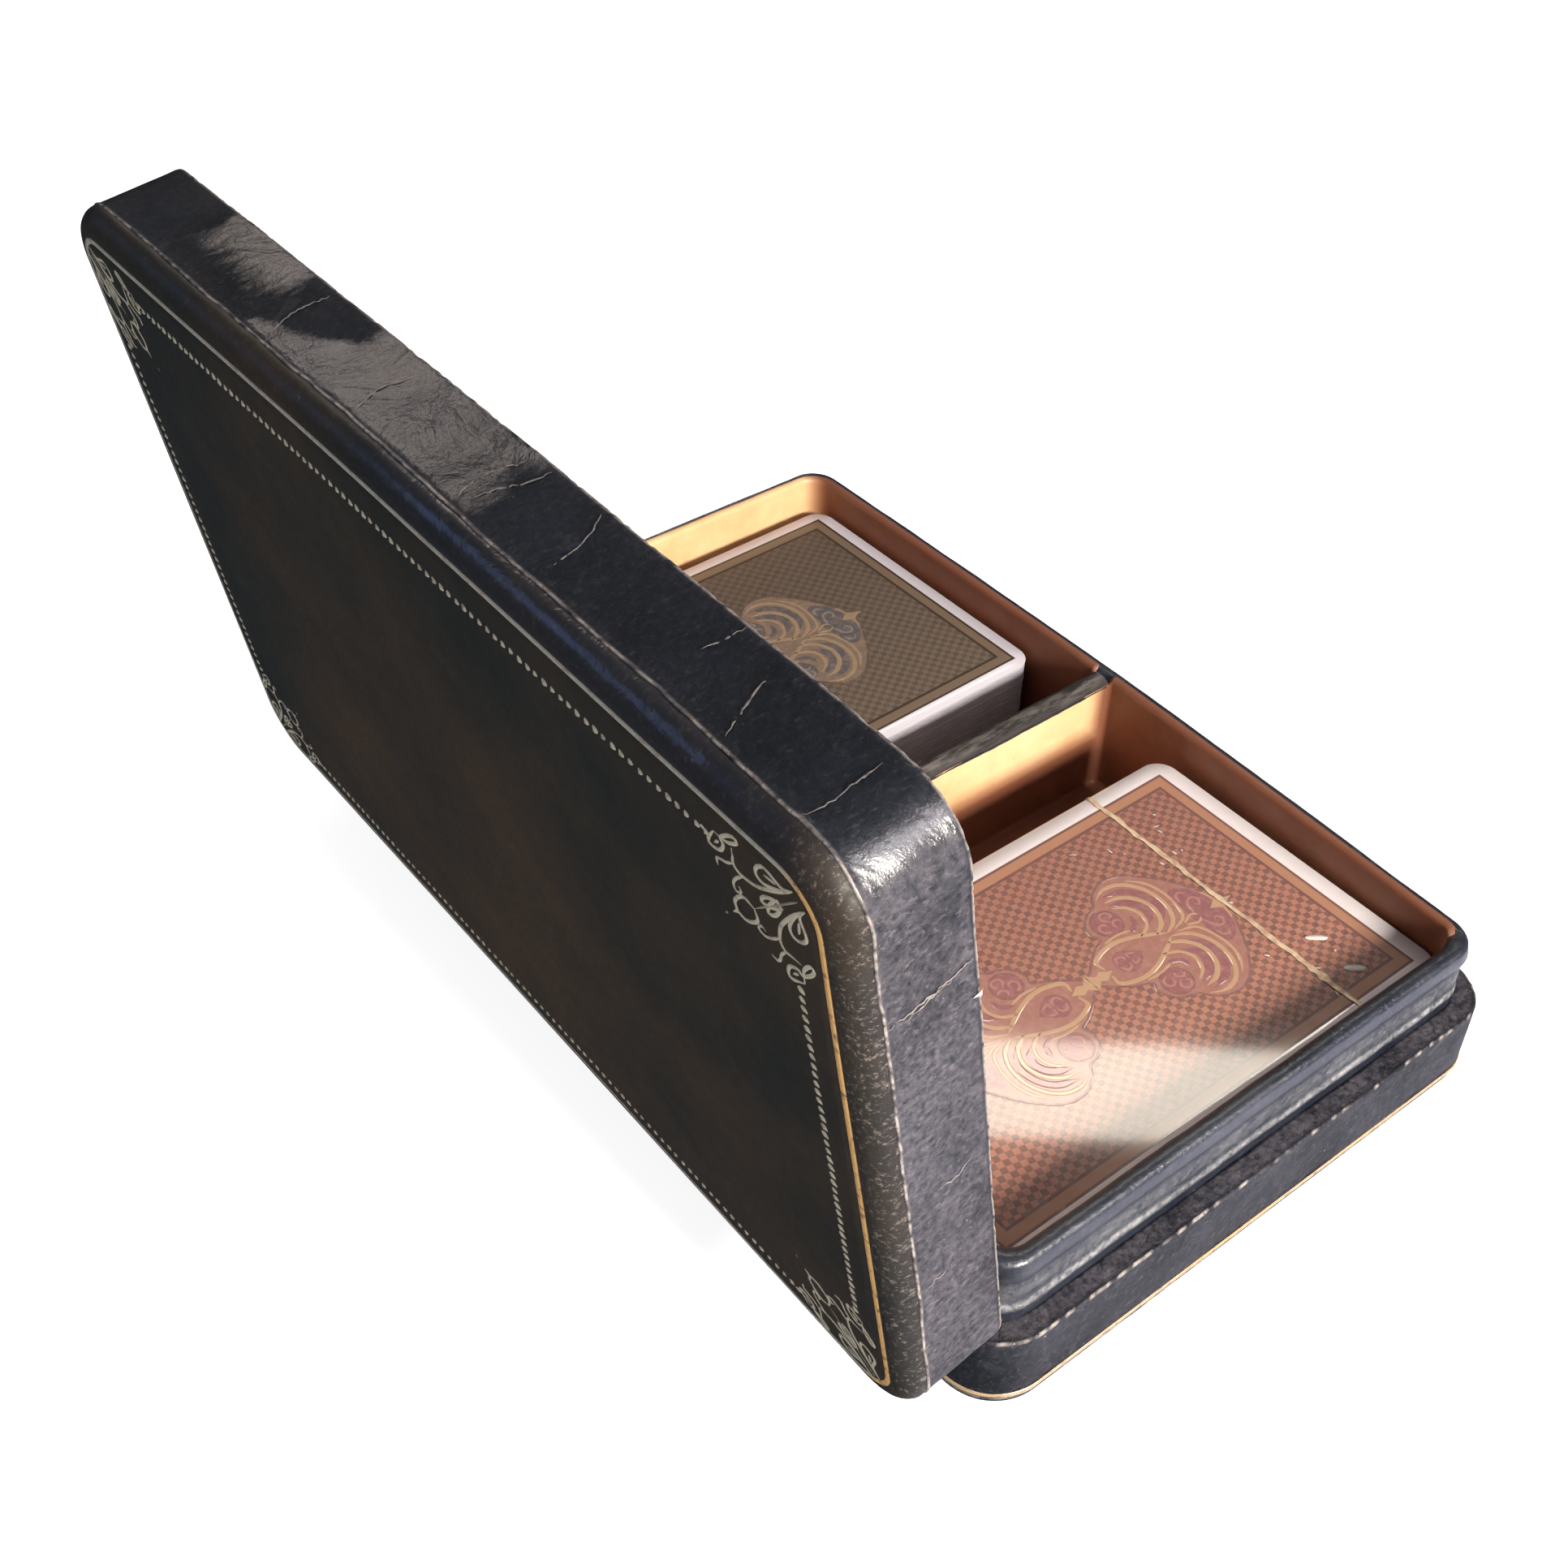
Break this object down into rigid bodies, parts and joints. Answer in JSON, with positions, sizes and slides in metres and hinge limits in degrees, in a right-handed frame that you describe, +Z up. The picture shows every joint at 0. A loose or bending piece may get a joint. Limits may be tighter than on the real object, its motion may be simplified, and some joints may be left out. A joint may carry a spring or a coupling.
{
  "type": "card deck case",
  "caption": "Hinged leather case with a raised collar, a divider and card decks lying crosswise in its compartments; the padded lid closes over the collar.",
  "frame": {"origin": "centre of the base's flat underside", "axes": "+X along the case's length, +Y towards the hinge side, +Z up out of the open base"},
  "size_m": [0.1602, 0.1319, 0.117],
  "materials": {
    "board": "matt",
    "side_leather": "semi-gloss",
    "top_leather": "satin",
    "collar_leather": "semi-gloss",
    "hinge_leather": "satin",
    "lining": "satin",
    "padding": "matt",
    "card_stack": "satin",
    "red_card_back": "gloss",
    "grey_card_back": "satin",
    "clear_wrap": "gloss",
    "gold_strip": "gloss"
  },
  "bodies": {
    "base": {"base_bottom_leather": "side_leather", "base_floor_board": "board", "base_wall_front": "board", "base_wall_back": "board", "base_wall_left": "board", "base_wall_right": "board", "base_side_leather": "side_leather", "collar_board_front": "board", "collar_board_back": "board", "collar_board_left": "board", "collar_board_right": "board", "collar_leather": "collar_leather", "divider_board": "board", "divider_leather": "collar_leather", "left_wall_lining": "lining", "right_wall_lining": "lining", "left_floor_lining": "lining", "right_floor_lining": "lining", "hinge_base_leaf": "hinge_leather"},
    "lid": {"lid_top_leather": "top_leather", "lid_padding": "padding", "lid_top_board": "board", "lid_wall_front": "board", "lid_wall_back": "board", "lid_wall_left": "board", "lid_wall_right": "board", "lid_side_leather": "side_leather", "lid_top_lining": "lining", "lid_wall_lining": "lining", "hinge_lid_leaf": "hinge_leather"},
    "left_deck": {"left_card_stack": "card_stack", "left_top_card": "red_card_back", "left_deck_wrap": "clear_wrap", "left_tear_strip": "gold_strip"},
    "right_deck": {"right_card_stack": "card_stack", "right_top_card": "grey_card_back"}
  },
  "joints": [
    {"name": "lid_hinge", "type": "hinge", "parent": "base", "child": "lid", "pos_m": [0, 0.0507, 0.01606], "axis": [-1, 0, 0], "range_deg": [-99.5, 0]},
    {"name": "left_deck_lift", "type": "slide", "parent": "base", "child": "left_deck", "axis": [0, 0, 1], "range_m": [0, 0.03]},
    {"name": "right_deck_lift", "type": "slide", "parent": "base", "child": "right_deck", "axis": [0, 0, 1], "range_m": [0, 0.03]}
  ]
}
